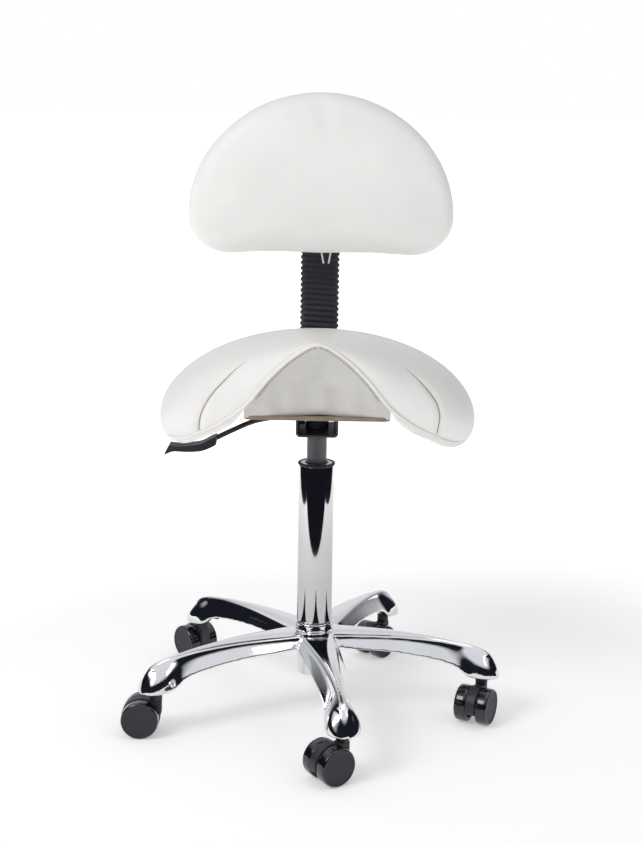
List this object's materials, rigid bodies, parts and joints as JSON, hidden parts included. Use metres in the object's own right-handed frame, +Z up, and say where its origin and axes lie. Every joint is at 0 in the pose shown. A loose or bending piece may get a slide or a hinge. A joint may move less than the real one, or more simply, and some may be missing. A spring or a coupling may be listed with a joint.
{
  "type": "dentist stool",
  "caption": "Saddle stool with a white leatherette seat and half-moon backrest on a gas lift, a chrome five-leg base and black twin-wheel casters.",
  "frame": {"origin": "bottom centre of the stool's box, on the floor", "axes": "+Z up, the sitter faces -Y, +X to the sitter's left"},
  "size_m": [0.529, 0.5382, 0.8711],
  "materials": {
    "chrome_casting": "polished",
    "chrome_tube": "polished",
    "black_plastic": "satin",
    "bright_steel": "satin",
    "grey_steel": "satin",
    "black_steel": "satin",
    "wheel_plastic": "gloss",
    "bellows_rubber": "matte",
    "plywood": "matte",
    "padded_leatherette": "satin",
    "leatherette": "satin",
    "tie_cord": "matte"
  },
  "bodies": {
    "base": {"star_base": "chrome_casting", "outer_column": "chrome_tube", "guide_bush": "black_plastic", "thrust_bearing": "bright_steel", "retaining_clip": "bright_steel"},
    "gas_rod": {"piston_rod": "bright_steel"},
    "seat": {"pressure_tube": "grey_steel", "mechanism_plate": "black_steel", "mechanism_channel": "black_steel", "taper_socket": "black_steel", "lever_pivot_pin": "bright_steel", "plate_bolt_1": "bright_steel", "plate_bolt_2": "bright_steel", "plate_bolt_3": "bright_steel", "plate_bolt_4": "bright_steel", "bar_guide": "black_steel", "seat_board": "plywood", "seat_shell": "black_plastic", "seat_cushion": "padded_leatherette", "front_panel": "leatherette"},
    "valve": {"valve_button": "bright_steel"},
    "lever": {"lever_arm": "black_steel", "lever_handle": "black_plastic"},
    "back_bar": {"back_bar": "black_steel", "bellows": "bellows_rubber"},
    "depth_knob": {"depth_knob": "black_plastic"},
    "carrier": {"carrier_sleeve": "black_plastic", "tilt_pin": "bright_steel"},
    "height_knob": {"height_knob": "black_plastic"},
    "backrest": {"backrest_bracket": "black_steel", "backrest_board": "plywood", "backrest_rear_cover": "leatherette", "backrest_cushion": "padded_leatherette", "backrest_tie_left": "tie_cord", "backrest_tie_right": "tie_cord"},
    "caster_1": {"caster_1_hood": "black_plastic", "caster_1_stem": "bright_steel", "caster_1_axle": "bright_steel"},
    "caster_1_wheel_left": {"caster_1_wheel_left": "wheel_plastic"},
    "caster_1_wheel_right": {"caster_1_wheel_right": "wheel_plastic"},
    "caster_2": {"caster_2_hood": "black_plastic", "caster_2_stem": "bright_steel", "caster_2_axle": "bright_steel"},
    "caster_2_wheel_left": {"caster_2_wheel_left": "wheel_plastic"},
    "caster_2_wheel_right": {"caster_2_wheel_right": "wheel_plastic"},
    "caster_3": {"caster_3_hood": "black_plastic", "caster_3_stem": "bright_steel", "caster_3_axle": "bright_steel"},
    "caster_3_wheel_left": {"caster_3_wheel_left": "wheel_plastic"},
    "caster_3_wheel_right": {"caster_3_wheel_right": "wheel_plastic"},
    "caster_4": {"caster_4_hood": "black_plastic", "caster_4_stem": "bright_steel", "caster_4_axle": "bright_steel"},
    "caster_4_wheel_left": {"caster_4_wheel_left": "wheel_plastic"},
    "caster_4_wheel_right": {"caster_4_wheel_right": "wheel_plastic"},
    "caster_5": {"caster_5_hood": "black_plastic", "caster_5_stem": "bright_steel", "caster_5_axle": "bright_steel"},
    "caster_5_wheel_left": {"caster_5_wheel_left": "wheel_plastic"},
    "caster_5_wheel_right": {"caster_5_wheel_right": "wheel_plastic"}
  },
  "joints": [
    {"name": "seat_swivel", "type": "hinge", "parent": "base", "child": "gas_rod", "pos_m": [-0.00115, 0.01657, 0.066], "axis": [0, 0, 1], "continuous": true},
    {"name": "seat_lift", "type": "slide", "parent": "gas_rod", "child": "seat", "axis": [0, 0, 1], "range_m": [-0.015, 0.125]},
    {"name": "release_lever", "type": "hinge", "parent": "seat", "child": "lever", "pos_m": [-0.02315, 0.01657, 0.4252], "axis": [0, 1, 0], "range_deg": [0, 2], "stiffness_Nm_per_rad": 4, "springref_deg": -4.58},
    {"name": "valve_press", "type": "slide", "parent": "seat", "child": "valve", "axis": [0, 0, -1], "range_m": [0, 0.002]},
    {"name": "back_depth", "type": "slide", "parent": "seat", "child": "back_bar", "axis": [0, 1, 0], "range_m": [-0.012, 0.03]},
    {"name": "depth_knob_turn", "type": "hinge", "parent": "seat", "child": "depth_knob", "pos_m": [-0.00115, 0.11857, 0.415], "axis": [0, 0, 1], "range_deg": [-180, 180]},
    {"name": "back_height", "type": "slide", "parent": "back_bar", "child": "carrier", "axis": [0, 0, 1], "range_m": [-0.03, 0.03], "deforming": ["bellows"]},
    {"name": "height_knob_turn", "type": "hinge", "parent": "carrier", "child": "height_knob", "pos_m": [-0.00115, 0.25657, 0.735], "axis": [0, 1, 0], "range_deg": [-180, 180]},
    {"name": "backrest_tilt", "type": "hinge", "parent": "carrier", "child": "backrest", "pos_m": [-0.00115, 0.21757, 0.755], "axis": [-1, 0, 0], "range_deg": [-3, 12]},
    {"name": "caster_1_swivel", "type": "hinge", "parent": "base", "child": "caster_1", "pos_m": [0.03875, -0.22313, 0.06], "axis": [0, 0, 1], "continuous": true},
    {"name": "caster_1_left_roll", "type": "hinge", "parent": "caster_1", "child": "caster_1_wheel_left", "pos_m": [0.03052, -0.24809, 0.026], "axis": [0.5708, -0.8211, 0], "continuous": true},
    {"name": "caster_1_right_roll", "type": "hinge", "parent": "caster_1", "child": "caster_1_wheel_right", "pos_m": [0.01249, -0.22215, 0.026], "axis": [0.5708, -0.8211, 0], "continuous": true},
    {"name": "caster_2_swivel", "type": "hinge", "parent": "base", "child": "caster_2", "pos_m": [0.23915, -0.01956, 0.06], "axis": [0, 0, 1], "continuous": true},
    {"name": "caster_2_left_roll", "type": "hinge", "parent": "caster_2", "child": "caster_2_wheel_left", "pos_m": [0.24412, -0.04537, 0.026], "axis": [0.8984, -0.4392, 0], "continuous": true},
    {"name": "caster_2_right_roll", "type": "hinge", "parent": "caster_2", "child": "caster_2_wheel_right", "pos_m": [0.21573, -0.03149, 0.026], "axis": [0.8984, -0.4392, 0], "continuous": true},
    {"name": "caster_3_swivel", "type": "hinge", "parent": "base", "child": "caster_3", "pos_m": [0.10747, 0.23394, 0.06], "axis": [0, 0, 1], "continuous": true},
    {"name": "caster_3_left_roll", "type": "hinge", "parent": "caster_3", "child": "caster_3_wheel_left", "pos_m": [0.10619, 0.20769, 0.026], "axis": [0.769, -0.6392, 0], "continuous": true},
    {"name": "caster_3_right_roll", "type": "hinge", "parent": "caster_3", "child": "caster_3_wheel_right", "pos_m": [0.08189, 0.22789, 0.026], "axis": [0.769, -0.6392, 0], "continuous": true},
    {"name": "caster_4_swivel", "type": "hinge", "parent": "base", "child": "caster_4", "pos_m": [-0.17432, 0.18704, 0.06], "axis": [0, 0, 1], "continuous": true},
    {"name": "caster_4_left_roll", "type": "hinge", "parent": "caster_4", "child": "caster_4_wheel_left", "pos_m": [-0.19989, 0.19309, 0.026], "axis": [-0.769, -0.6392, 0], "continuous": true},
    {"name": "caster_4_right_roll", "type": "hinge", "parent": "caster_4", "child": "caster_4_wheel_right", "pos_m": [-0.17559, 0.21329, 0.026], "axis": [-0.769, -0.6392, 0], "continuous": true},
    {"name": "caster_5_swivel", "type": "hinge", "parent": "base", "child": "caster_5", "pos_m": [-0.21679, -0.09545, 0.06], "axis": [0, 0, 1], "continuous": true},
    {"name": "caster_5_left_roll", "type": "hinge", "parent": "caster_5", "child": "caster_5_wheel_left", "pos_m": [-0.23779, -0.11125, 0.026], "axis": [0, -1, 0], "continuous": true},
    {"name": "caster_5_right_roll", "type": "hinge", "parent": "caster_5", "child": "caster_5_wheel_right", "pos_m": [-0.23779, -0.07965, 0.026], "axis": [0, -1, 0], "continuous": true}
  ],
  "couplings": [
    {"joint": "valve_press", "follows": "release_lever", "m_per_rad": 0.0215}
  ]
}
